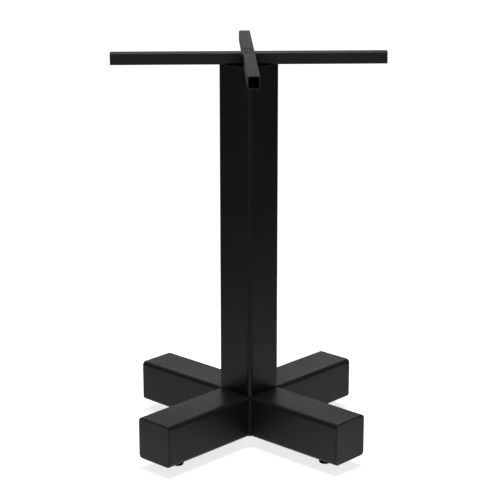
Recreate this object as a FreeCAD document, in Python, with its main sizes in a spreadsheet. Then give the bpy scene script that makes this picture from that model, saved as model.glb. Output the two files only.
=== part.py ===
import FreeCAD, Part
import os
import Sketcher
from enum import IntEnum

# Pedestal base of a small table, welded from square steel tube: a column with an arm on each of its faces,
# a cross of thin bars on its open top end, and a levelling foot under each arm.
# Z is up and the floor is at zero. The bars lie along X and Y, and the arms lie midway between them.

DIMENSIONS = {
    "total_height": 742.0,
    # Square tube of the column and the arms
    "tube_side": 80.0,
    "tube_wall": 3.0,
    "tube_corner": 8.0,
    "arm_length": 209.0,
    # Plates that close the arms
    "plate_thickness": 3.0,
    "plate_edge": 1.0,
    # Square tube of the top cross
    "bar_side": 22.0,
    "bar_wall": 2.0,
    "bar_corner": 3.0,
    "bar_length": 500.0,
    # Weld beads, by the legs of their fillets
    "arm_weld_leg": 5.5,
    "bar_weld_leg": 4.0,
    "seat_weld_leg": 3.0,
    # Levelling feet
    "foot_inset": 60.0,
    "foot_extension": 10.0,
    "pad_diameter": 22.0,
    "pad_disc": 7.0,
    "pad_rounding": 3.0,
    "collar_flats": 17.0,
    "collar_height": 3.0,
    "stud_diameter": 8.0,
    "stud_length": 40.0,
    "stud_chamfer": 1.0,
    "stud_socket": 6.0,
    "nut_flats": 13.0,
    "nut_height": 6.5,
    "thread_clearance": 0.05,
    "hole_clearance": 0.5,
}
# Arms in their order round the column
CORNERS = ("back_right", "back_left", "front_left", "front_right")

# Places worked out from the driving dimensions, as expressions
PAD_HEIGHT = "(Sizes.pad_disc + Sizes.collar_height)"
ARM_UNDERSIDE = f"({PAD_HEIGHT} + Sizes.foot_extension)"
ARM_AXIS = f"({ARM_UNDERSIDE} + Sizes.tube_side / 2)"
COLUMN_LENGTH = f"(Sizes.total_height - Sizes.bar_side - {ARM_UNDERSIDE})"
COLUMN_TOP = "(Sizes.total_height - Sizes.bar_side)"
BAR_AXIS = "(Sizes.total_height - Sizes.bar_side / 2)"
ARM_START = "(Sizes.tube_side / 2)"
ARM_END = "(Sizes.tube_side / 2 + Sizes.arm_length)"
FOOT_REACH = f"({ARM_END} + Sizes.plate_thickness - Sizes.foot_inset)"
STUD_FOOT = f"({PAD_HEIGHT} - Sizes.stud_socket)"
NUT_SEAT = f"({ARM_UNDERSIDE} + Sizes.tube_wall)"
BORE_RADIUS = "(Sizes.stud_diameter / 2 + Sizes.thread_clearance)"
SEAT_WELD_HEIGHT = "(Sizes.bar_corner + Sizes.seat_weld_leg)"

UP = FreeCAD.Vector(0, 0, 1)
# Turns a body that is built along its own Z axis so that it lies along X with its own Y axis up
LYING = FreeCAD.Rotation(FreeCAD.Vector(1, 1, 1), 120)
FULL_TURN_DEG = 360
HEXAGON_TURN_DEG = 60
# Turn of the column that brings one of its corners to the front
COLUMN_TURN_DEG = 45
QUARTER_TURN_DEG = 90
ARM_TURNS_DEG = {corner: COLUMN_TURN_DEG + index * QUARTER_TURN_DEG for index, corner in enumerate(CORNERS)}
# Largest difference between directions or heights that counts as none
SAME = 1e-6


class Spot(IntEnum):
    """How the sketcher numbers the points of a line or a circle."""

    START = 1
    END = 2
    CENTRE = 3


class Reference(IntEnum):
    """How the sketcher numbers its own axes. The first one also carries the origin, as its start."""

    HORIZONTAL_AXIS = -1
    VERTICAL_AXIS = -2


doc = FreeCAD.newDocument("table_base")
sheet = doc.addObject("Spreadsheet::Sheet", "Sizes")
for row, (name, number) in enumerate(DIMENSIONS.items(), start=1):
    sheet.set(f"A{row}", name)
    sheet.set(f"B{row}", str(number))
    sheet.setAlias(f"B{row}", name)
doc.recompute()


def value(expression):
    """Number that an expression on the sheet stands for now."""
    return float(sheet.evalExpression(expression))


def new_body(label):
    """Body whose name and label are those of its sub-part."""
    body = doc.addObject("PartDesign::Body", label)
    body.Label = label
    return body


def origin_feature(body, role):
    """Plane or axis of the body's own origin."""
    return next(item for item in body.Origin.OriginFeatures if item.Role == role)


def new_sketch(body, name, plane, lift="0"):
    """Sketch on one of the body's own planes, lifted off it along its normal."""
    sketch = body.newObject("Sketcher::SketchObject", f"{body.Label}_{name}")
    sketch.AttachmentSupport = [(origin_feature(body, plane), "")]
    sketch.MapMode = "FlatFace"
    sketch.setExpression("AttachmentOffset.Base.z", lift)
    return sketch


def fix_point(sketch, line, end, across, along):
    """Ties a point to the sketch's origin by two dimensions, or to an axis where a dimension is zero."""
    origin = (int(Reference.HORIZONTAL_AXIS), int(Spot.START))
    ties = (("DistanceX", Reference.VERTICAL_AXIS, across), ("DistanceY", Reference.HORIZONTAL_AXIS, along))
    for kind, axis, expression in ties:
        if expression == "0":
            sketch.addConstraint(Sketcher.Constraint("PointOnObject", line, int(end), int(axis)))
        else:
            number = value(expression)
            index = sketch.addConstraint(Sketcher.Constraint(kind, *origin, line, int(end), number))
            sketch.setExpression(f"Constraints[{index}]", expression)


def add_outline(sketch, corners):
    """Closed outline through corners that are pairs of expressions."""
    spots = [FreeCAD.Vector(value(across), value(along), 0) for across, along in corners]
    following = [(index + 1) % len(corners) for index in range(len(corners))]
    for index, after in enumerate(following):
        sketch.addGeometry(Part.LineSegment(spots[index], spots[after]))
    start, end = int(Spot.START), int(Spot.END)
    for index, after in enumerate(following):
        sketch.addConstraint(Sketcher.Constraint("Coincident", index, end, after, start))
    for index, (across, along) in enumerate(corners):
        fix_point(sketch, index, Spot.START, across, along)


def add_square(sketch, side):
    """Square about the sketch's origin."""
    half = f"({side} / 2)"
    add_outline(sketch, [(f"-{half}", f"-{half}"), (half, f"-{half}"), (half, half), (f"-{half}", half)])


def add_hexagon(sketch, flats, across="0"):
    """Hexagon with two corners along the sketch's first axis, about a point of that axis."""
    radius = f"{flats} / sqrt(3)"
    on_axis = (0, FULL_TURN_DEG / 2)
    corners = []
    for turn in range(0, FULL_TURN_DEG, HEXAGON_TURN_DEG):
        along = "0" if turn in on_axis else f"({radius} * sin({turn}))"
        corners.append((f"({across} + {radius} * cos({turn}))", along))
    add_outline(sketch, corners)


def add_circle(sketch, radius, across="0", along="0"):
    """Circle about a point of the sketch."""
    centre = FreeCAD.Vector(value(across), value(along), 0)
    circle = sketch.addGeometry(Part.Circle(centre, UP, value(radius)))
    fix_point(sketch, circle, Spot.CENTRE, across, along)
    index = sketch.addConstraint(Sketcher.Constraint("Radius", circle, value(radius)))
    sketch.setExpression(f"Constraints[{index}]", radius)


def add_pad(body, name, sketch, length):
    """Pad of a sketch along its normal."""
    pad = body.newObject("PartDesign::Pad", f"{body.Label}_{name}")
    pad.Profile = sketch
    pad.setExpression("Length", length)
    doc.recompute()
    return pad


def add_cut(body, name, sketch, depth=None, reverse=False):
    """Pocket of a sketch, through all that lies that way unless it has a depth."""
    before = body.Shape.Volume
    pocket = body.newObject("PartDesign::Pocket", f"{body.Label}_{name}")
    pocket.Profile = sketch
    pocket.Reversed = reverse
    if depth:
        pocket.setExpression("Length", depth)
    else:
        pocket.Type = "ThroughAll"
    doc.recompute()
    if pocket.Shape.Volume >= before:
        raise RuntimeError(f"{pocket.Name} cuts nothing")
    return pocket


def add_revolution(body, name, sketch):
    """Full turn of a profile about the upright axis of its sketch."""
    revolution = body.newObject("PartDesign::Revolution", f"{body.Label}_{name}")
    revolution.Profile = sketch
    revolution.ReferenceAxis = (sketch, ["V_Axis"])
    revolution.Angle = FULL_TURN_DEG
    doc.recompute()
    return revolution


def add_fillet(body, name, feature, edges, radius):
    """Rounding of some edges of the feature before it."""
    fillet = body.newObject("PartDesign::Fillet", f"{body.Label}_{name}")
    fillet.Base = (feature, edges)
    fillet.setExpression("Radius", radius)
    doc.recompute()
    return fillet


def repeat_at_corners(body, feature):
    """Repeats a feature round the upright axis, once for each arm."""
    ring = body.newObject("PartDesign::PolarPattern", f"{body.Label}_ring")
    ring.Originals = [feature]
    ring.Axis = (origin_feature(body, "Z_Axis"), [""])
    ring.Angle = FULL_TURN_DEG
    ring.Occurrences = len(CORNERS)
    body.Tip = ring


def edges_along(feature, direction):
    """Names of a feature's straight edges that run in a direction."""
    names = []
    for index, edge in enumerate(feature.Shape.Edges, start=1):
        way = edge.tangentAt(edge.FirstParameter)
        if isinstance(edge.Curve, Part.Line) and way.cross(direction).Length < SAME:
            names.append(f"Edge{index}")
    return names


def edges_at_height(feature, height):
    """Names of a feature's edges that lie wholly at one height of the body."""
    names = []
    for index, edge in enumerate(feature.Shape.Edges, start=1):
        box = edge.BoundBox
        if max(abs(box.ZMin - height), abs(box.ZMax - height)) < SAME:
            names.append(f"Edge{index}")
    return names


def end_faces(feature):
    """Names of a feature's two flat end faces, across its own Z axis."""
    names = []
    for index, face in enumerate(feature.Shape.Faces, start=1):
        if isinstance(face.Surface, Part.Plane) and face.Surface.Axis.cross(UP).Length < SAME:
            names.append(f"Face{index}")
    return names


def add_square_tube(label, stock, length, start="0"):
    """Rounded square tube along the body's own Z axis, open at both ends, from a stock of the sheet."""
    body = new_body(label)
    section = new_sketch(body, "section", "XY_Plane", start)
    add_square(section, f"Sizes.{stock}_side")
    blank = add_pad(body, "blank", section, length)
    rounded = add_fillet(body, "corners", blank, edges_along(blank, UP), f"Sizes.{stock}_corner")
    hollow = body.newObject("PartDesign::Thickness", f"{label}_hollow")
    hollow.Base = (rounded, end_faces(rounded))
    hollow.Reversed = True
    hollow.setExpression("Value", f"Sizes.{stock}_wall")
    doc.recompute()
    if hollow.Shape.Volume >= rounded.Shape.Volume:
        raise RuntimeError(f"{label} has no hollow")
    return body


def place(item, turn, height, reach="0", lying=False):
    """Turns a sub-part about the upright axis and lifts it, with its origin at a distance from that axis."""
    turned = FreeCAD.Rotation(UP, turn)
    item.Placement.Rotation = turned * LYING if lying else turned
    item.setExpression("Placement.Base.x", f"{reach} * cos({turn})")
    item.setExpression("Placement.Base.y", f"{reach} * sin({turn})")
    item.setExpression("Placement.Base.z", height)


def make_column():
    """Upright tube, standing on its corner to the front, from the underside of the arms to the top cross."""
    body = add_square_tube("column_tube", "tube", COLUMN_LENGTH)
    place(body, COLUMN_TURN_DEG, ARM_UNDERSIDE)
    return body


def make_arm(corner, turn):
    """Arm butted against a face of the column, with the foot's hole in its lower wall."""
    body = add_square_tube(f"arm_{corner}", "tube", "Sizes.arm_length", ARM_START)
    hole = new_sketch(body, "foot_hole", "XZ_Plane")
    add_circle(hole, "(Sizes.stud_diameter / 2 + Sizes.hole_clearance)", "0", FOOT_REACH)
    add_cut(body, "foot_bore", hole, reverse=True)
    place(body, turn, ARM_AXIS, lying=True)
    return body


def make_end_plate(corner, turn):
    """Plate with the tube's outline that closes an arm, its outer edge eased."""
    body = new_body(f"end_plate_{corner}")
    outline = new_sketch(body, "outline", "XY_Plane", ARM_END)
    add_square(outline, "Sizes.tube_side")
    blank = add_pad(body, "blank", outline, "Sizes.plate_thickness")
    rounded = add_fillet(body, "corners", blank, edges_along(blank, UP), "Sizes.tube_corner")
    outer = value(f"{ARM_END} + Sizes.plate_thickness")
    add_fillet(body, "outer_edge", rounded, edges_at_height(rounded, outer), "Sizes.plate_edge")
    place(body, turn, ARM_AXIS, lying=True)
    return body


def make_bars():
    """Through bar of the top cross and the two half bars butted against its sides."""
    through = add_square_tube("through_bar", "bar", "Sizes.bar_length", "-Sizes.bar_length / 2")
    place(through, 0, BAR_AXIS, lying=True)
    half_length = "(Sizes.bar_length - Sizes.bar_side) / 2"
    halves = []
    for side, turn in (("front", 270), ("back", 90)):
        half = add_square_tube(f"half_bar_{side}", "bar", half_length, "Sizes.bar_side / 2")
        place(half, turn, BAR_AXIS, lying=True)
        halves.append(half)
    return [through] + halves


def make_foot_nuts():
    """Hexagon nuts welded inside the arms over the holes for the feet."""
    body = new_body("foot_nuts")
    hexagon = new_sketch(body, "hexagon", "XY_Plane", NUT_SEAT)
    add_hexagon(hexagon, "Sizes.nut_flats", FOOT_REACH)
    add_circle(hexagon, BORE_RADIUS, FOOT_REACH)
    blank = add_pad(body, "blank", hexagon, "Sizes.nut_height")
    repeat_at_corners(body, blank)
    place(body, COLUMN_TURN_DEG, "0")
    return body


def make_foot_stud(corner, turn):
    """Threaded stud of a foot, drawn at its outer diameter, with both ends chamfered."""
    body = new_body(f"foot_stud_{corner}")
    radius = "(Sizes.stud_diameter / 2)"
    tip = "(Sizes.stud_diameter / 2 - Sizes.stud_chamfer)"
    profile = new_sketch(body, "profile", "XZ_Plane")
    add_outline(profile, [("0", "0"), (tip, "0"), (radius, "Sizes.stud_chamfer"),
                          (radius, "(Sizes.stud_length - Sizes.stud_chamfer)"), (tip, "Sizes.stud_length"),
                          ("0", "Sizes.stud_length")])
    add_revolution(body, "turned", profile)
    place(body, turn, STUD_FOOT, FOOT_REACH)
    return body


def make_foot_pad(corner, turn):
    """Moulded pad of a foot: a disc with a rounded sole, a collar for a spanner and the stud's socket."""
    body = new_body(f"foot_pad_{corner}")
    radius = "(Sizes.pad_diameter / 2)"
    profile = new_sketch(body, "profile", "XZ_Plane")
    add_outline(profile, [("0", "0"), (radius, "0"), (radius, "Sizes.pad_disc"), ("0", "Sizes.pad_disc")])
    disc = add_revolution(body, "disc", profile)
    add_fillet(body, "sole", disc, edges_at_height(disc, 0.0), "Sizes.pad_rounding")
    hexagon = new_sketch(body, "hexagon", "XY_Plane", "Sizes.pad_disc")
    add_hexagon(hexagon, "Sizes.collar_flats")
    add_pad(body, "collar", hexagon, "Sizes.collar_height")
    socket = new_sketch(body, "socket", "XY_Plane", PAD_HEIGHT)
    add_circle(socket, "Sizes.stud_diameter / 2")
    add_cut(body, "bore", socket, "Sizes.stud_socket")
    place(body, turn, "0", FOOT_REACH)
    return body


def add_bead(label, leg, length, reach, start):
    """Upright fillet bead in the inner corner of two walls, which its two legs lie along."""
    body = new_body(label)
    section = new_sketch(body, "section", "XY_Plane", start)
    add_outline(section, [(reach, reach), (f"({reach} + {leg})", reach), (reach, f"({reach} + {leg})")])
    bead = add_pad(body, "bead", section, length)
    repeat_at_corners(body, bead)
    return body


def make_arm_corner_welds():
    """Beads down the four inner corners between neighbouring arms, as long as the arms' flat sides."""
    start = f"({ARM_UNDERSIDE} + Sizes.tube_corner)"
    length = "(Sizes.tube_side - 2 * Sizes.tube_corner)"
    body = add_bead("arm_corner_welds", "Sizes.arm_weld_leg", length, ARM_START, start)
    place(body, COLUMN_TURN_DEG, "0")
    return body


def make_bar_cross_welds():
    """Beads down the four inner corners of the top cross, as long as the bars' flat sides."""
    start = f"({COLUMN_TOP} + Sizes.bar_corner)"
    length = "(Sizes.bar_side - 2 * Sizes.bar_corner)"
    return add_bead("bar_cross_welds", "Sizes.bar_weld_leg", length, "(Sizes.bar_side / 2)", start)


def make_bar_seat_welds():
    """Short beads beside the bars where they cross the rim of the column."""
    rim = add_square_tube("column_rim", "tube", SEAT_WELD_HEIGHT)
    place(rim, COLUMN_TURN_DEG, COLUMN_TOP)
    body = new_body("bar_fillets")
    near = "(Sizes.bar_side / 2)"
    far = "(Sizes.bar_side / 2 + Sizes.seat_weld_leg)"
    section = new_sketch(body, "section", "XZ_Plane", "-Sizes.bar_length / 2")
    add_outline(section, [(near, "0"), (far, "0"), (near, SEAT_WELD_HEIGHT)])
    fillet = add_pad(body, "fillet", section, "Sizes.bar_length")
    repeat_at_corners(body, fillet)
    place(body, 0, COLUMN_TOP)
    welds = doc.addObject("Part::Common", "bar_seat_welds")
    welds.Base = rim
    welds.Tool = body
    return welds


sub_parts = [make_column()]
for corner, turn in ARM_TURNS_DEG.items():
    sub_parts.append(make_arm(corner, turn))
    sub_parts.append(make_end_plate(corner, turn))
    sub_parts.append(make_foot_stud(corner, turn))
    sub_parts.append(make_foot_pad(corner, turn))
sub_parts += make_bars()
sub_parts += [make_foot_nuts(), make_arm_corner_welds(), make_bar_cross_welds(), make_bar_seat_welds()]
doc.recompute()

for item in doc.Objects:
    if "Invalid" in item.State or "Error" in item.State:
        raise RuntimeError(f"{item.Name} failed: {item.State}")
for item in sub_parts:
    if item.Shape.isNull() or not item.Shape.isValid():
        raise RuntimeError(f"{item.Label} has no valid shape")

os.makedirs("parts", exist_ok=True)
for item in sub_parts:
    item.Shape.exportStep(f"parts/{item.Label}.step")
    print(f"{item.Label}: {len(item.Shape.Solids)} solids, {item.Shape.Volume:.0f} mm3")
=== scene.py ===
"""Looks of a welded table base: satin black paint, weld beads, threaded levelling feet and a plain studio.

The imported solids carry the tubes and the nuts, which keep their shapes and get their finish here. New meshes stand
for the end plates, the beads, the studs and the pads of the feet, whose roundings, ripples and threads are finer than
the solids. Lengths are in metres, Z is up and the floor is at zero.
"""

import logging
import math
from dataclasses import dataclass, replace
from enum import Enum

import bmesh
import bpy
from mathutils import Matrix, Vector


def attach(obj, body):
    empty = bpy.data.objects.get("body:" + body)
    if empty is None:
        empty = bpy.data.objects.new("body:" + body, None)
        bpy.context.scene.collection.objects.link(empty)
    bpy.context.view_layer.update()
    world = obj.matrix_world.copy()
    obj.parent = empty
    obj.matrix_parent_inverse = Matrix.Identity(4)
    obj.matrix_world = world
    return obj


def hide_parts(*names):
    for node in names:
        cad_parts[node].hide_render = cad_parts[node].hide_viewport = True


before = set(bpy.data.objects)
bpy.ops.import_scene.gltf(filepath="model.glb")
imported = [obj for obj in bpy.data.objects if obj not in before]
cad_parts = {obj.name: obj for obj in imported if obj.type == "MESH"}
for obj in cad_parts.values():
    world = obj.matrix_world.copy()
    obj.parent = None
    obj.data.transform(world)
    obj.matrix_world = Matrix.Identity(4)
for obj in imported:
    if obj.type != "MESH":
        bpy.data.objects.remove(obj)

LOG = logging.getLogger("table_base")
# Points closer than this are taken as one
MERGE = 5e-6
# How near to a cutting plane a point counts as on it
ON_PLANE = 1e-7
# Area from which a face is shaded flat, so that a rounding beside it doesn't bend its shine
FLAT_FROM = 5e-4

Colour = tuple[float, float, float]
Socket = bpy.types.NodeSocket


class Corner(Enum):
    """The four arms by the corner that each reaches, with its direction round the column in degrees."""

    BACK_RIGHT = 45
    BACK_LEFT = 135
    FRONT_LEFT = 225
    FRONT_RIGHT = 315

    @property
    def label(self) -> str:
        """Name of the corner as the frame's nodes spell it."""
        return self.name.lower()

    @property
    def turn(self) -> Matrix:
        """Rotation that takes the X axis along the arm."""
        return Matrix.Rotation(math.radians(self.value), 4, "Z")


class Crease(Enum):
    """Angle in degrees from which a piece's edges stay sharp, by the kind of piece."""

    FLAT_WORK = 30.0
    MOULDING = 35.0
    THREAD = 40.0
    WELD = 50.0


class Slot(Enum):
    """Names of the material slots."""

    POWDER_COAT = "powder_coat"
    ZINC_STEEL = "zinc_steel"
    BLACK_NYLON = "black_nylon"


class Wiring:
    """Adds and joins the nodes of one node tree."""

    def __init__(self, tree: bpy.types.NodeTree) -> None:
        """Keeps the tree that the nodes go into."""
        self.tree = tree

    def node(self, kind: str, inputs: dict | None = None, **settings: object) -> bpy.types.Node:
        """Adds a node.

        Args:
            kind: Blender's name of the node's type.
            inputs: what goes into its sockets, by name or number: a value, or another node's socket.
            settings: properties of the node.

        Returns:
            The new node.
        """
        made = self.tree.nodes.new(kind)
        for name, setting in settings.items():
            setattr(made, name, setting)
        for key, given in (inputs or {}).items():
            if isinstance(given, Socket):
                self.tree.links.new(given, made.inputs[key])
            else:
                made.inputs[key].default_value = given
        return made

    def group(self, tree: bpy.types.NodeTree, inputs: dict) -> bpy.types.Node:
        """Places a shared effect with its own values."""
        return self.node("ShaderNodeGroup", inputs, node_tree=tree)

    def noise(self, vector: Socket, scale: Socket | float, detail: float) -> Socket:
        """Adds a noise of about nought to one and gives its value."""
        inputs = {"Vector": vector, "Scale": scale, "Detail": detail}
        return self.node("ShaderNodeTexNoise", inputs).outputs[0]

    def math(self, operation: str, first: Socket | float, second: Socket | float = 0.0) -> Socket:
        """Adds a sum on values and gives its result."""
        return self.node("ShaderNodeMath", {0: first, 1: second}, operation=operation).outputs[0]

    def remap(self, value: Socket, source: tuple[float, float], target: tuple[float, float]) -> Socket:
        """Takes one range of a value to another, held at the ends."""
        inputs = {0: value, 1: source[0], 2: source[1], 3: target[0], 4: target[1]}
        return self.node("ShaderNodeMapRange", inputs).outputs[0]

    def mix_colour(self, factor: Socket, first: Socket | tuple, second: Socket | tuple) -> Socket:
        """Mixes two colours by a mask and gives the result."""
        return self.node("ShaderNodeMix", {0: factor, 6: first, 7: second}, data_type="RGBA").outputs[2]


class SharedEffects:
    """Shader groups that more than one finish uses, each built once."""

    PATCH_SPAN = (0.35, 0.65)
    SPECK_SCALE = 900.0
    SPECK_SPAN = (0.5, 0.72)
    FILM_SCALE = 24.0
    FILM_SPAN = (0.3, 0.7)
    FILM_COVER = (0.2, 0.7)
    LEVEL_SPAN = (0.6, 0.98)

    def __init__(self) -> None:
        """Builds the groups."""
        self.grain = self._build_grain()
        self.dust = self._build_dust()

    @staticmethod
    def _start(name: str, inputs: tuple[str, ...], outputs: tuple[str, ...]) -> tuple[Wiring, dict, bpy.types.Node]:
        """Starts a group whose first input is a vector and whose other sockets are values.

        Args:
            name: name of the group.
            inputs: names of its value inputs.
            outputs: names of its outputs.

        Returns:
            The wiring of the group, its input sockets by name, and its output node.
        """
        tree = bpy.data.node_groups.new(name, "ShaderNodeTree")
        tree.interface.new_socket(name="Vector", in_out="INPUT", socket_type="NodeSocketVector")
        for socket in inputs:
            tree.interface.new_socket(name=socket, in_out="INPUT", socket_type="NodeSocketFloat")
        for socket in outputs:
            tree.interface.new_socket(name=socket, in_out="OUTPUT", socket_type="NodeSocketFloat")
        wiring = Wiring(tree)
        entry = wiring.node("NodeGroupInput")
        sockets = {socket.name: socket for socket in entry.outputs if socket.name}
        return wiring, sockets, wiring.node("NodeGroupOutput")

    def _build_grain(self) -> bpy.types.NodeTree:
        """Builds the small relief of a coat or a moulding, and the broad patches in which its gloss varies."""
        wiring, entry, leave = self._start(
            "surface_grain", ("Cells", "Grain", "Grain Share", "Patches"), ("Height", "Patch")
        )
        cells = wiring.noise(entry["Vector"], entry["Cells"], detail=1.0)
        grain = wiring.noise(entry["Vector"], entry["Grain"], detail=1.0)
        height = wiring.node("ShaderNodeMix", {0: entry["Grain Share"], 2: cells, 3: grain}).outputs[0]
        broad = wiring.noise(entry["Vector"], entry["Patches"], detail=3.0)
        patch = wiring.remap(broad, self.PATCH_SPAN, (0.0, 1.0))
        wiring.tree.links.new(height, leave.inputs["Height"])
        wiring.tree.links.new(patch, leave.inputs["Patch"])
        return wiring.tree

    def _build_dust(self) -> bpy.types.NodeTree:
        """Builds the thin dust that settles on what faces up."""
        wiring, entry, leave = self._start("settled_dust", ("Upward", "Amount"), ("Dust",))
        fine = wiring.noise(entry["Vector"], self.SPECK_SCALE, detail=2.0)
        broad = wiring.noise(entry["Vector"], self.FILM_SCALE, detail=4.0)
        specks = wiring.remap(fine, self.SPECK_SPAN, (0.0, 1.0))
        film = wiring.remap(broad, self.FILM_SPAN, self.FILM_COVER)
        cover = wiring.math("MAXIMUM", specks, film)
        level = wiring.remap(entry["Upward"], self.LEVEL_SPAN, (0.0, 1.0))
        lying = wiring.math("MULTIPLY", cover, level)
        dust = wiring.math("MULTIPLY", lying, entry["Amount"])
        wiring.tree.links.new(dust, leave.inputs["Dust"])
        return wiring.tree


@dataclass(frozen=True)
class GroundWeld:
    """Weld across the front-to-back bars that was ground flat, which leaves a dull, slightly sunk band.

    Attributes:
        at: where it lies along Y.
        half_width: half its width along Y.
        fade: shares of the half width between which the band fades out.
        ends: distances from the bar's middle between which it fades out.
        fray_scale: scale of the noise that frays its edges.
        fray_span: the part of that noise in use.
        mark_scale: scale of the grinder's marks.
        mark_span: the part of their noise in use.
        mark_depth: strength of the mask between the marks and in them.
        dulls: what it adds to the roughness.
        sinks: what it takes off the height, in heights of the grain.
    """

    at: float
    half_width: float
    fade: tuple[float, float] = (0.6, 1.3)
    ends: tuple[float, float] = (0.009, 0.0115)
    fray_scale: float = 260.0
    fray_span: tuple[float, float] = (0.3, 0.7)
    mark_scale: float = 700.0
    mark_span: tuple[float, float] = (0.35, 0.6)
    mark_depth: tuple[float, float] = (0.35, 1.0)
    dulls: float = 0.6
    sinks: float = 7.0

    def mask(self, wiring: Wiring, place: Socket) -> Socket:
        """Marks where the weld lies.

        Args:
            wiring: the material's wiring.
            place: the place as a vector.

        Returns:
            The mask, broken up by the marks of the grinder.
        """
        sides = wiring.node("ShaderNodeSeparateXYZ", {0: place}).outputs
        ragged = wiring.noise(place, self.fray_scale, detail=2.0)
        frayed = wiring.remap(ragged, self.fray_span, (-self.half_width, self.half_width))
        off = wiring.math("ABSOLUTE", wiring.math("SUBTRACT", wiring.math("ADD", sides["Y"], frayed), self.at))
        inner, outer = (self.half_width * share for share in self.fade)
        band = wiring.remap(off, (inner, outer), (1.0, 0.0))
        across = wiring.remap(wiring.math("ABSOLUTE", sides["X"]), self.ends, (1.0, 0.0))
        marks = wiring.remap(wiring.noise(place, self.mark_scale, detail=1.0), self.mark_span, self.mark_depth)
        return wiring.math("MULTIPLY", wiring.math("MULTIPLY", band, across), marks)


@dataclass(frozen=True)
class Finish:
    """What every finish of the base shares: a grain, a range of tone and gloss, and a trace of dust.

    Attributes:
        name: name of the material.
        dark: tone at one end of the patches.
        light: tone at their other end.
        gloss: roughness at the same two ends.
        specular: level of the mirror shine.
        metallic: one for bare metal, nought for the rest.
        cells: scale of the coarse relief.
        grain: scale of the fine relief.
        grain_share: share of the fine relief in the whole.
        patches: scale of the patches.
        relief: height of the relief.
        dust: how much dust lies on what faces up.
        dust_colour: colour of the dust.
        ground_welds: welds whose marks show.
    """

    name: str
    dark: Colour
    light: Colour
    gloss: tuple[float, float]
    specular: float
    metallic: float
    cells: float
    grain: float
    grain_share: float
    patches: float
    relief: float
    dust: float
    dust_colour: Colour = (0.32, 0.31, 0.29)
    ground_welds: tuple[GroundWeld, ...] = ()

    def material(self, effects: SharedEffects) -> bpy.types.Material:
        """Builds the material.

        Args:
            effects: the shared shader groups.

        Returns:
            The material, with its pattern on Object coordinates.
        """
        made = bpy.data.materials.new(self.name)
        made.use_nodes = True
        made.node_tree.nodes.clear()
        wiring = Wiring(made.node_tree)
        place = wiring.node("ShaderNodeTexCoord").outputs["Object"]
        normal = wiring.node("ShaderNodeNewGeometry").outputs["Normal"]
        upward = wiring.node("ShaderNodeSeparateXYZ", {0: normal}).outputs["Z"]
        grain = wiring.group(
            effects.grain,
            {
                "Vector": place,
                "Cells": self.cells,
                "Grain": self.grain,
                "Grain Share": self.grain_share,
                "Patches": self.patches,
            },
        )
        dust = wiring.group(effects.dust, {"Vector": place, "Upward": upward, "Amount": self.dust})
        tone = wiring.mix_colour(grain.outputs["Patch"], (*self.dark, 1.0), (*self.light, 1.0))
        dusted = wiring.mix_colour(dust.outputs["Dust"], tone, (*self.dust_colour, 1.0))
        gloss = wiring.remap(grain.outputs["Patch"], (0.0, 1.0), self.gloss)
        dulled = wiring.math("ADD", gloss, dust.outputs["Dust"])
        height = grain.outputs["Height"]
        for weld in self.ground_welds:
            ground = weld.mask(wiring, place)
            dulled = wiring.math("ADD", dulled, wiring.math("MULTIPLY", ground, weld.dulls))
            height = wiring.math("SUBTRACT", height, wiring.math("MULTIPLY", ground, weld.sinks))
        bump = wiring.node("ShaderNodeBump", {"Height": height, "Distance": self.relief})
        shader = wiring.node(
            "ShaderNodeBsdfPrincipled",
            {
                "Base Color": dusted,
                "Roughness": dulled,
                "Normal": bump.outputs[0],
                "Metallic": self.metallic,
                "Specular IOR Level": self.specular,
            },
        )
        wiring.node("ShaderNodeOutputMaterial", {"Surface": shader.outputs[0]})
        return made


TUBE_COAT = Finish(
    name="satin_black_coat",
    dark=(0.0102, 0.0105, 0.0104),
    light=(0.012, 0.0124, 0.0122),
    gloss=(0.38, 0.45),
    specular=0.22,
    metallic=0.0,
    cells=420.0,
    grain=2400.0,
    grain_share=0.35,
    patches=9.0,
    relief=0.00005,
    dust=0.012,
)
BAR_COAT = replace(
    TUBE_COAT,
    name="coat_over_ground_welds",
    gloss=(0.62, 0.69),
    specular=0.54,
    ground_welds=(GroundWeld(at=-0.0145, half_width=0.0045), GroundWeld(at=0.031, half_width=0.0065)),
)
BEAD_COAT = Finish(
    name="coat_over_weld",
    dark=(0.0058, 0.006, 0.0059),
    light=(0.0072, 0.0074, 0.0073),
    gloss=(0.52, 0.6),
    specular=0.19,
    metallic=0.0,
    cells=700.0,
    grain=2400.0,
    grain_share=0.25,
    patches=60.0,
    relief=0.00006,
    dust=0.012,
)
ZINC = Finish(
    name="bright_zinc_plate",
    dark=(0.5, 0.51, 0.53),
    light=(0.62, 0.61, 0.57),
    gloss=(0.26, 0.42),
    specular=0.5,
    metallic=1.0,
    cells=900.0,
    grain=3200.0,
    grain_share=0.5,
    patches=160.0,
    relief=0.00002,
    dust=0.01,
)
NYLON = Finish(
    name="moulded_black_nylon",
    dark=(0.0036, 0.0036, 0.0038),
    light=(0.0052, 0.0052, 0.0054),
    gloss=(0.78, 0.9),
    specular=0.02,
    metallic=0.0,
    cells=1500.0,
    grain=4200.0,
    grain_share=0.5,
    patches=120.0,
    relief=0.00006,
    dust=0.02,
)


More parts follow.
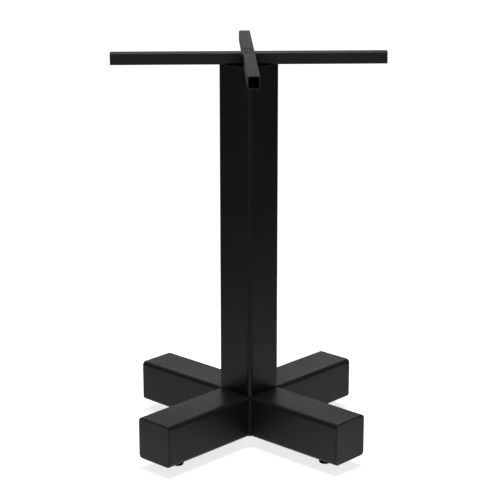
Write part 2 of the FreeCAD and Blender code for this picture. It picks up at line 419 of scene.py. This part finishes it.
def make_piece(name: str, shape: bmesh.types.BMesh, material: bpy.types.Material, crease: Crease) -> bpy.types.Object:
    """Turns a finished shape into an object at the origin.

    Args:
        name: name of the piece.
        shape: the finished shape, which is freed.
        material: what it is finished in.
        crease: which edges stay sharp.

    Returns:
        The linked object.
    """
    bmesh.ops.remove_doubles(shape, verts=shape.verts, dist=MERGE)
    bmesh.ops.recalc_face_normals(shape, faces=shape.faces)
    for face in shape.faces:
        face.smooth = face.calc_area() < FLAT_FROM
    for edge in shape.edges:
        edge.smooth = edge.calc_face_angle(0.0) < math.radians(crease.value)
    mesh = bpy.data.meshes.new(name)
    shape.to_mesh(mesh)
    shape.free()
    mesh.materials.append(material)
    piece = bpy.data.objects.new(name, mesh)
    bpy.context.scene.collection.objects.link(piece)
    return piece


def add_copy(target: bmesh.types.BMesh, source: bmesh.types.BMesh, place: Matrix) -> None:
    """Adds a placed copy of one shape to another."""
    mesh = bpy.data.meshes.new("copy")
    source.to_mesh(mesh)
    mesh.transform(place)
    target.from_mesh(mesh)
    bpy.data.meshes.remove(mesh)


def cut_away(shape: bmesh.types.BMesh, point: Vector, outward: Vector) -> None:
    """Cuts off what lies outward of a plane and closes the cut.

    Args:
        shape: the shape to cut.
        point: a point of the plane.
        outward: the plane's normal, towards what goes.
    """
    everything = shape.verts[:] + shape.edges[:] + shape.faces[:]
    cut = bmesh.ops.bisect_plane(
        shape, geom=everything, dist=ON_PLANE, plane_co=point, plane_no=outward, clear_outer=True
    )
    rim = [part for part in cut["geom_cut"] if isinstance(part, bmesh.types.BMEdge)]
    bmesh.ops.edgeloop_fill(shape, edges=rim)


def round_edges(shape: bmesh.types.BMesh, edges: list[bmesh.types.BMEdge], width: float, segments: int) -> None:
    """Rounds some edges of a shape."""
    bmesh.ops.bevel(shape, geom=edges, offset=width, affect="EDGES", segments=segments, profile=0.5, material=-1)


def seat(piece: bpy.types.Object, body: str, slot: Slot, *nodes: str) -> None:
    """Lets a piece ride on a body and stand for some of the frame's nodes."""
    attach(piece, body)
    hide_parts(*nodes)
    LOG.info("%s stands for %s on %s", piece.name, ", ".join(nodes), body)


def dress(name: str, material: bpy.types.Material) -> None:
    """Gives one of the frame's own nodes its finish."""
    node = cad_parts[name]
    for slot in node.material_slots:
        slot.material = material
    LOG.info("%s is finished in %s", name, material.name)


@dataclass
class WeldBead:
    """Upright fillet bead in the inner corner of two walls at right angles, as a row of overlapping pools.

    Attributes:
        reach: distance of the corner from the column's axis.
        foot: height of the lower end.
        top: height of the upper end.
        radius: radius of the bead.
        sink: how far its middle lies out from the corner, below nought for inside the walls.
        pitch: length of one pool.
        ripple: share of the radius that is lost between pools.
        slump: how far the front of a pool hangs down.
        crown: how much fuller the last pool is.
        segments: sides of the bead's outline.
        rings_per_pool: rings along one pool.
        overlap: how far the bead reaches behind the walls.
        end_share: least share of the radius at the ends.
    """

    reach: float
    foot: float
    top: float
    radius: float
    sink: float
    pitch: float
    ripple: float
    slump: float
    crown: float
    segments: int = 48
    rings_per_pool: int = 8
    overlap: float = 0.0001
    end_share: float = 0.3

    def all_round(self, offset: float) -> bmesh.types.BMesh:
        """Builds the bead four times round the column.

        Args:
            offset: angle in degrees from the arms' directions.

        Returns:
            The four beads as one shape.
        """
        beads = bmesh.new()
        single = self.shape()
        for corner in Corner:
            add_copy(beads, single, Matrix.Rotation(math.radians(corner.value + offset), 4, "Z"))
        single.free()
        return beads

    def shape(self) -> bmesh.types.BMesh:
        """Builds the bead on the X axis.

        Returns:
            A closed shape, cut off just behind the two walls.
        """
        length = self.top - self.foot
        cuts = int(length / self.pitch * self.rings_per_pool)
        bead = bmesh.new()
        bmesh.ops.create_cone(
            bead, cap_ends=True, segments=self.segments, radius1=self.radius, radius2=self.radius, depth=length
        )
        upright = [edge for edge in bead.edges if abs(edge.verts[0].co.z - edge.verts[1].co.z) > length / 2]
        bmesh.ops.subdivide_edges(bead, edges=upright, cuts=cuts, use_grid_fill=True)
        for vert in bead.verts:
            share = self._swell(vert.co.z + length / 2, length)
            vert.co.z -= self.slump * vert.co.x / self.radius
            vert.co.x *= share
            vert.co.y *= share
        middle = Vector((self.reach + self.sink, 0.0, (self.foot + self.top) / 2))
        bmesh.ops.translate(bead, verts=bead.verts, vec=middle)
        behind = Vector((self.reach - self.overlap, 0.0, 0.0))
        for side in (1.0, -1.0):
            cut_away(bead, behind, Vector((-1.0, side, 0.0)))
        return bead

    def _swell(self, along: float, length: float) -> float:
        """Share of the radius at a distance from the lower end: pools, rounded ends and a fuller last pool."""
        pool = abs(math.sin(math.pi * along / self.pitch))
        share = 1.0 - self.ripple * (1.0 - pool)
        share *= 1.0 + self.crown * math.exp(-(((length - along) / self.pitch - 1.0) ** 2))
        to_end = max(0.0, min(along, length - along)) / self.radius
        if to_end < 1.0:
            share *= max(self.end_share, math.sqrt(1.0 - (1.0 - to_end) ** 2))
        return share


@dataclass
class Pedestal:
    """Column, arms and end plates, with the beads in the four corners between the arms."""

    tube_side: float = 0.08
    tube_corner: float = 0.008
    corner_segments: int = 12
    arm_underside: float = 0.02
    arm_end: float = 0.249
    plate_thickness: float = 0.003
    plate_edge: float = 0.0028
    edge_segments: int = 10
    bead_starts: float = 0.004
    bead_stops: float = 0.0045

    def dress(self, coat: bpy.types.Material) -> None:
        """Paints the frame's own tubes."""
        dress("column_tube", coat)
        for corner in Corner:
            dress(f"arm_{corner.label}", coat)

    def build_plates(self, coat: bpy.types.Material) -> None:
        """Builds the plates that close the arms, with a softer outer edge than the solids have."""
        for corner in Corner:
            plate = bmesh.new()
            bmesh.ops.create_cube(plate, size=1.0)
            sides = Vector((self.plate_thickness, self.tube_side, self.tube_side))
            bmesh.ops.scale(plate, vec=sides, verts=plate.verts)
            middle = Vector((self.arm_end, 0.0, self.arm_underside)) + Vector((sides.x, 0.0, sides.z)) / 2
            bmesh.ops.translate(plate, vec=middle, verts=plate.verts)
            along = [edge for edge in plate.edges if abs(edge.verts[0].co.x - edge.verts[1].co.x) > MERGE]
            round_edges(plate, along, self.tube_corner, self.corner_segments)
            outside = self.arm_end + self.plate_thickness
            rim = [edge for edge in plate.edges if all(abs(vert.co.x - outside) < MERGE for vert in edge.verts)]
            round_edges(plate, rim, self.plate_edge, self.edge_segments)
            bmesh.ops.transform(plate, matrix=corner.turn, verts=plate.verts)
            piece = make_piece(f"soft_end_plate_{corner.label}", plate, coat, Crease.FLAT_WORK)
            seat(piece, "frame", Slot.POWDER_COAT, f"end_plate_{corner.label}")

    def build_beads(self, coat: bpy.types.Material) -> None:
        """Builds the beads down the inner corners between neighbouring arms."""
        bead = WeldBead(
            reach=self.tube_side / math.sqrt(2.0),
            foot=self.arm_underside + self.bead_starts,
            top=self.arm_underside + self.tube_side - self.bead_stops,
            radius=0.007,
            sink=-0.0025,
            pitch=0.0027,
            ripple=0.05,
            slump=0.0014,
            crown=0.06,
        )
        piece = make_piece("arm_corner_beads", bead.all_round(45.0), coat, Crease.WELD)
        seat(piece, "frame", Slot.POWDER_COAT, "arm_corner_welds")


@dataclass
class TopCross:
    """Bars of the top cross, with the beads in its corners and where it sits on the column."""

    bar_side: float = 0.022
    column_top: float = 0.72
    bead_inset: float = 0.0015
    rim_reach: float = 0.0436
    pool_sides: tuple[float, float, float] = (0.0034, 0.0021, 0.0026)
    pool_rise: float = 0.0004
    pool_overlap: float = 0.0001

    def dress(self, coat: bpy.types.Material) -> None:
        """Paints the frame's own bars."""
        for name in ("through_bar", "half_bar_front", "half_bar_back"):
            dress(name, coat)

    def build_beads(self, coat: bpy.types.Material) -> None:
        """Builds the beads in the inner corners of the cross and the short ones beside the bars on the rim."""
        bead = WeldBead(
            reach=self.bar_side / math.sqrt(2.0),
            foot=self.column_top + self.bead_inset,
            top=self.column_top + self.bar_side - self.bead_inset,
            radius=0.0052,
            sink=-0.0008,
            pitch=0.0095,
            ripple=0.24,
            slump=0.0006,
            crown=0.0,
        )
        piece = make_piece("bar_cross_beads", bead.all_round(0.0), coat, Crease.WELD)
        seat(piece, "frame", Slot.POWDER_COAT, "bar_cross_welds")

        pools = bmesh.new()
        for quarter in range(4):
            for side in (1.0, -1.0):
                self._add_pool(pools, quarter * math.pi / 2, side)
        piece = make_piece("bar_seat_beads", pools, coat, Crease.WELD)
        seat(piece, "frame", Slot.POWDER_COAT, "bar_seat_welds")

    def _add_pool(self, pools: bmesh.types.BMesh, turn: float, side: float) -> None:
        """Adds the pool of weld beside one bar where it crosses the column's rim."""
        pool = bmesh.new()
        bmesh.ops.create_icosphere(pool, subdivisions=3, radius=1.0)
        bmesh.ops.scale(pool, vec=self.pool_sides, verts=pool.verts)
        at = Vector((self.rim_reach, side * self.bar_side / 2, self.column_top + self.pool_rise))
        bmesh.ops.translate(pool, vec=at, verts=pool.verts)
        cut_away(pool, Vector((0.0, 0.0, self.column_top - self.pool_overlap)), Vector((0.0, 0.0, -1.0)))
        add_copy(pools, pool, Matrix.Rotation(turn, 4, "Z"))
        pool.free()


@dataclass
class LevellingFoot:
    """Screw-in foot under one arm: a threaded stud in a moulded pad with a spanner collar."""

    corner: Corner
    reach: float = 0.192
    pad_radius: float = 0.011
    disc_height: float = 0.007
    disc_segments: int = 64
    sole_rounding: float = 0.003
    sole_segments: int = 7
    sole_rim: float = 0.0022
    sole_recess: float = 0.0008
    recess_slope: float = 0.0006
    rim_rounding: float = 0.0008
    rim_segments: int = 3
    collar_flats: float = 0.017
    collar_height: float = 0.003
    collar_ease: float = 0.0006
    collar_segments: int = 2
    collar_turn: float = 30.0
    stud_radius: float = 0.004
    stud_low: float = 0.004
    stud_high: float = 0.044
    stud_chamfer: float = 0.001
    thread_pitch: float = 0.00125
    thread_depth: float = 0.00068
    thread_land: float = 0.00016
    steps_per_turn: int = 24
    spare_turns: int = 2

    @property
    def place(self) -> Matrix:
        """Where the foot stands, turned with its arm."""
        return self.corner.turn @ Matrix.Translation((self.reach, 0.0, 0.0))

    def build(self, nylon: bpy.types.Material, zinc: bpy.types.Material) -> None:
        """Builds the pad and the stud in their place."""
        body = f"foot_{self.corner.label}"
        pad = make_piece(f"moulded_pad_{self.corner.label}", self._pad_shape(), nylon, Crease.MOULDING)
        seat(pad, body, Slot.BLACK_NYLON, f"foot_pad_{self.corner.label}")
        stud = make_piece(f"threaded_stud_{self.corner.label}", self._stud_shape(), zinc, Crease.THREAD)
        seat(stud, body, Slot.ZINC_STEEL, f"foot_stud_{self.corner.label}")

    def _pad_shape(self) -> bmesh.types.BMesh:
        """Builds the pad: a disc with a rounded sole and a shallow recess in it, under a hexagonal collar."""
        disc = bmesh.new()
        bmesh.ops.create_cone(
            disc,
            cap_ends=True,
            segments=self.disc_segments,
            radius1=self.pad_radius,
            radius2=self.pad_radius,
            depth=self.disc_height,
        )
        bmesh.ops.translate(disc, vec=(0.0, 0.0, self.disc_height / 2), verts=disc.verts)
        self._bevel_ring(disc, self.disc_height, self.rim_rounding, self.rim_segments)
        self._bevel_ring(disc, 0.0, self.sole_rounding, self.sole_segments)
        sole = [face for face in disc.faces if all(abs(vert.co.z) < MERGE for vert in face.verts)]
        bmesh.ops.inset_region(disc, faces=sole, thickness=self.sole_rim, depth=0.0)
        bmesh.ops.inset_region(disc, faces=sole, thickness=self.recess_slope, depth=-self.sole_recess)
        collar = bmesh.new()
        radius = self.collar_flats / math.sqrt(3.0)
        bmesh.ops.create_cone(
            collar, cap_ends=True, segments=6, radius1=radius, radius2=radius, depth=self.collar_height
        )
        turn = Matrix.Rotation(math.radians(self.collar_turn), 4, "Z")
        bmesh.ops.transform(collar, matrix=turn, verts=collar.verts)
        bmesh.ops.translate(
            collar, vec=(0.0, 0.0, self.disc_height + self.collar_height / 2), verts=collar.verts
        )
        upright = [edge for edge in collar.edges if abs(edge.verts[0].co.z - edge.verts[1].co.z) > MERGE]
        round_edges(collar, upright, self.collar_ease, self.collar_segments)
        collar_top = self.disc_height + self.collar_height
        self._bevel_ring(collar, collar_top, self.collar_ease, self.collar_segments)
        pad = bmesh.new()
        add_copy(pad, disc, self.place)
        add_copy(pad, collar, self.place)
        disc.free()
        collar.free()
        return pad

    @staticmethod
    def _bevel_ring(shape: bmesh.types.BMesh, height: float, width: float, segments: int) -> None:
        """Rounds the edges that lie at one height."""
        ring = [edge for edge in shape.edges if all(abs(vert.co.z - height) < MERGE for vert in edge.verts)]
        round_edges(shape, ring, width, segments)

    def _stud_shape(self) -> bmesh.types.BMesh:
        """Builds the stud: one tooth of the thread swept up a helix, cut to length, its ends chamfered."""
        stud = bmesh.new()
        root = self.stud_radius - self.thread_depth
        half_land = self.thread_land / 2
        tooth = (
            (root, 0.0),
            (self.stud_radius, self.thread_pitch / 2 - half_land),
            (self.stud_radius, self.thread_pitch / 2 + half_land),
            (root, self.thread_pitch),
        )
        below = self.stud_low - self.spare_turns * self.thread_pitch
        verts = [stud.verts.new((radius, 0.0, below + height)) for radius, height in tooth]
        edges = [stud.edges.new(pair) for pair in zip(verts, verts[1:])]
        turns = math.ceil((self.stud_high - self.stud_low) / self.thread_pitch) + 2 * self.spare_turns
        bmesh.ops.spin(
            stud,
            geom=verts + edges,
            cent=(0.0, 0.0, 0.0),
            axis=(0.0, 0.0, 1.0),
            dvec=(0.0, 0.0, self.thread_pitch / self.steps_per_turn),
            angle=turns * 2 * math.pi,
            steps=turns * self.steps_per_turn,
            use_merge=False,
            use_duplicate=False,
        )
        bmesh.ops.remove_doubles(stud, verts=stud.verts, dist=2 * MERGE)
        cut_away(stud, Vector((0.0, 0.0, self.stud_low)), Vector((0.0, 0.0, -1.0)))
        cut_away(stud, Vector((0.0, 0.0, self.stud_high)), Vector((0.0, 0.0, 1.0)))
        for vert in stud.verts:
            to_end = min(vert.co.z - self.stud_low, self.stud_high - vert.co.z)
            most = self.stud_radius - max(0.0, self.stud_chamfer - to_end)
            radius = math.hypot(vert.co.x, vert.co.y)
            if radius > most:
                vert.co.x *= most / radius
                vert.co.y *= most / radius
        bmesh.ops.transform(stud, matrix=self.place, verts=stud.verts)
        return stud


@dataclass(frozen=True)
class SoftBox:
    """Area lamp that points straight down, with a grid that narrows its light."""

    name: str
    place: tuple[float, float, float]
    size: tuple[float, float]
    power: float
    spread: float

    def build(self) -> None:
        """Hangs the lamp, out of the camera's sight."""
        lamp = bpy.data.lights.new(self.name, "AREA")
        lamp.shape = "RECTANGLE"
        lamp.size, lamp.size_y = self.size
        lamp.energy = self.power
        lamp.spread = math.radians(self.spread)
        hung = bpy.data.objects.new(self.name, lamp)
        hung.location = self.place
        hung.visible_camera = False
        bpy.context.scene.collection.objects.link(hung)


@dataclass(frozen=True)
class Studio:
    """Pale floor and backdrop that carry painted reflections, under a pool of soft light, a dim surround and the
    photograph's camera.
    """

    # Floor, backdrop, lamp and paper
    floor_half: float = 14.0
    backdrop_half: float = 4.6
    backdrop_at: float = 7.0
    backdrop_top: float = 6.0
    lamp: SoftBox = SoftBox(
        name="box_over_base", place=(0.0, 0.2, 2.8), size=(0.8, 1.5), power=6.2, spread=50.0
    )
    paper_colour: Colour = (0.86, 0.86, 0.86)
    paper_roughness: float = 0.9
    paper_specular: float = 0.1
    # Strip of painted reflection on the floor, a glow that only reflections show, with its soft edge and how it widens
    strip_half: float = 0.42
    strip_fade: float = 0.36
    strip_widening: float = 0.22
    fan_starts_at: float = 0.7
    fan_widening: float = 1.0
    # How bright the floor's painted reflection is, lower at the base as painted shade, and where along Y that changes
    glow_at_base: float = 0.28
    glow_by_front_arms: float = 0.66
    beside_span: tuple[float, float] = (-0.25, 0.05)
    before_span: tuple[float, float] = (-0.8, -0.35)
    glow_behind: float = 0.6
    behind_span: tuple[float, float] = (0.4, 2.0)
    glow_ahead: float = 2.3
    ahead_span: tuple[float, float] = (-4.1, -3.0)
    # How bright the backdrop's painted reflection is, the heights at which that changes, and the surround
    backdrop_dim: float = 0.06
    backdrop_bright: float = 1.5
    backdrop_span: tuple[float, float] = (2.4, 3.1)
    surround: float = 0.13
    # How bright the camera sees the floor at the base and away from it, and the distances at which that changes
    pale_at_base: float = 0.78
    pale_away: float = 1.0
    pale_span: tuple[float, float] = (0.5, 1.6)
    # Camera, by its angles in degrees and its focal length in pixels of the photograph
    camera_place: tuple[float, float, float] = (-0.10541, -3.09527, 1.25575)
    camera_pitch: float = 15.9582
    camera_yaw: float = 1.9892
    focal_pixels: float = 1731.36
    frame_pixels: float = 500.0
    sensor: float = 36.0
    sight: float = 100.0

    def build(self) -> None:
        """Sets up the floor, the lamp, the world, the view transform and the camera."""
        self._build_paper()
        self.lamp.build()
        self._build_world()
        bpy.context.scene.view_settings.view_transform = "Standard"
        self._build_camera()

    def _build_world(self) -> None:
        """Builds the dim surround, which is white where the camera looks straight at it."""
        world = bpy.data.worlds.new("plain_surround")
        world.use_nodes = True
        wiring = Wiring(world.node_tree)
        world.node_tree.nodes.clear()
        looked_at = wiring.node("ShaderNodeLightPath").outputs["Is Camera Ray"]
        strength = wiring.remap(looked_at, (0.0, 1.0), (self.surround, self.pale_away))
        ground = wiring.node("ShaderNodeBackground", {"Color": (1.0, 1.0, 1.0, 1.0), "Strength": strength})
        wiring.node("ShaderNodeOutputWorld", {"Surface": ground.outputs[0]})
        bpy.context.scene.world = world

    def _build_paper(self) -> None:
        """Lays the floor and hangs the backdrop behind it."""
        floor = bmesh.new()
        bmesh.ops.create_grid(floor, x_segments=1, y_segments=1, size=self.floor_half)
        make_piece("floor", floor, self._floor_paper(), Crease.FLAT_WORK)
        backdrop = bmesh.new()
        corners = ((-1.0, 0.0), (1.0, 0.0), (1.0, self.backdrop_top), (-1.0, self.backdrop_top))
        verts = [
            backdrop.verts.new((side * self.backdrop_half, self.backdrop_at, height)) for side, height in corners
        ]
        backdrop.faces.new(verts)
        make_piece("backdrop", backdrop, self._backdrop_paper(), Crease.FLAT_WORK)

    def _floor_paper(self) -> bpy.types.Material:
        """Builds the floor's paper.

        Reflections show a painted reflection on it, a glow in a strip that widens away from the base, lower at the
        base as painted shade, apart from the part just before the base, and bright again well ahead. The camera sees
        it white, apart from the base's shadow.

        Returns:
            The material.
        """
        paper, wiring, place = self._start_paper("floor_paper")
        along = wiring.math("ABSOLUTE", place["Y"])
        widened = wiring.math("MULTIPLY", along, self.strip_widening)
        past = wiring.math("MAXIMUM", wiring.math("SUBTRACT", place["Y"], self.fan_starts_at), 0.0)
        fanned = wiring.math("ADD", widened, wiring.math("MULTIPLY", past, self.fan_widening))
        outside = wiring.math("SUBTRACT", wiring.math("ABSOLUTE", place["X"]), fanned)
        strip = wiring.remap(outside, (self.strip_half, self.strip_half + self.strip_fade), (1.0, 0.0))
        # Painted shade: the reflected glow is lower at the base than by the front arms
        glow_with_painted_shade = wiring.remap(place["Y"], self.beside_span, (self.glow_by_front_arms, self.glow_at_base))
        before = wiring.remap(place["Y"], self.before_span, (0.0, 1.0))
        behind = wiring.remap(place["Y"], self.behind_span, (0.0, self.glow_behind))
        ahead = wiring.remap(place["Y"], self.ahead_span, (self.glow_ahead, 0.0))
        near = wiring.math("MULTIPLY", glow_with_painted_shade, before)
        painted_strip_glow = wiring.math("MULTIPLY", strip, wiring.math("ADD", near, behind))
        away = wiring.node("ShaderNodeVectorMath", {0: place["Vector"]}, operation="LENGTH").outputs["Value"]
        pale = wiring.remap(away, self.pale_span, (self.pale_at_base, self.pale_away))
        self._finish_paper(wiring, wiring.math("ADD", painted_strip_glow, ahead), pale)
        return paper

    def _backdrop_paper(self) -> bpy.types.Material:
        """Builds the backdrop's paper, whose painted reflection is dim at its foot and bright higher up."""
        paper, wiring, place = self._start_paper("backdrop_paper")
        # Painted reflection: a glow that reflections see, dim at the foot and bright above
        painted_reflection_band = wiring.remap(place["Z"], self.backdrop_span, (self.backdrop_dim, self.backdrop_bright))
        self._finish_paper(wiring, painted_reflection_band, self.pale_away)
        return paper

    @staticmethod
    def _start_paper(name: str) -> tuple[bpy.types.Material, Wiring, dict[str, Socket]]:
        """Starts a paper.

        Args:
            name: name of the material.

        Returns:
            The material, its wiring and the place in it, as a vector and by axis.
        """
        paper = bpy.data.materials.new(name)
        paper.use_nodes = True
        paper.node_tree.nodes.clear()
        wiring = Wiring(paper.node_tree)
        vector = wiring.node("ShaderNodeTexCoord").outputs["Object"]
        sides = wiring.node("ShaderNodeSeparateXYZ", {0: vector}).outputs
        return paper, wiring, {"Vector": vector, **{side.name: side for side in sides}}

    def _finish_paper(self, wiring: Wiring, glow: Socket, pale: Socket | float) -> None:
        """Ends a paper with a painted reflection and a pale look for the camera, both glows that light nothing.

        Args:
            wiring: the paper's wiring.
            glow: how bright reflections show it, as a painted reflection.
            pale: how bright the camera shows it, without the lamp's light on it.
        """
        rays = wiring.node("ShaderNodeLightPath").outputs
        # Painted reflection: this glow shows only to glossy and transmission rays
        mirrored = wiring.math("MAXIMUM", rays["Is Glossy Ray"], rays["Is Transmission Ray"])
        painted_reflection = wiring.math("MULTIPLY", mirrored, glow)
        in_view = wiring.math("MULTIPLY", rays["Is Camera Ray"], pale)
        shader = wiring.node(
            "ShaderNodeBsdfPrincipled",
            {
                "Base Color": (*self.paper_colour, 1.0),
                "Roughness": self.paper_roughness,
                "Specular IOR Level": self.paper_specular,
                "Emission Color": (1.0, 1.0, 1.0, 1.0),
                "Emission Strength": wiring.math("MAXIMUM", painted_reflection, in_view),
            },
        )
        wiring.node("ShaderNodeOutputMaterial", {"Surface": shader.outputs[0]})

    def _build_camera(self) -> None:
        """Places the camera as the photograph's outline was fitted."""
        lens = bpy.data.cameras.new("photo_camera")
        lens.sensor_width = self.sensor
        lens.lens = self.focal_pixels * self.sensor / self.frame_pixels
        lens.clip_end = self.sight
        camera = bpy.data.objects.new("photo_camera", lens)
        camera.location = self.camera_place
        camera.rotation_euler = (math.radians(90.0 - self.camera_pitch), 0.0, -math.radians(self.camera_yaw))
        bpy.context.scene.collection.objects.link(camera)
        bpy.context.scene.camera = camera


def main() -> None:
    """Builds the base's pieces in order, then the studio."""
    logging.basicConfig(level=logging.INFO, format="%(message)s")
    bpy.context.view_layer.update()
    effects = SharedEffects()
    tube_coat = TUBE_COAT.material(effects)
    bar_coat = BAR_COAT.material(effects)
    bead_coat = BEAD_COAT.material(effects)
    zinc = ZINC.material(effects)
    nylon = NYLON.material(effects)

    pedestal = Pedestal()
    pedestal.dress(tube_coat)
    pedestal.build_plates(tube_coat)
    pedestal.build_beads(bead_coat)
    cross = TopCross()
    cross.dress(bar_coat)
    cross.build_beads(bead_coat)
    dress("foot_nuts", zinc)
    for corner in Corner:
        LevellingFoot(corner).build(nylon, zinc)

    Studio().build()


if __name__ == "__main__":
    main()
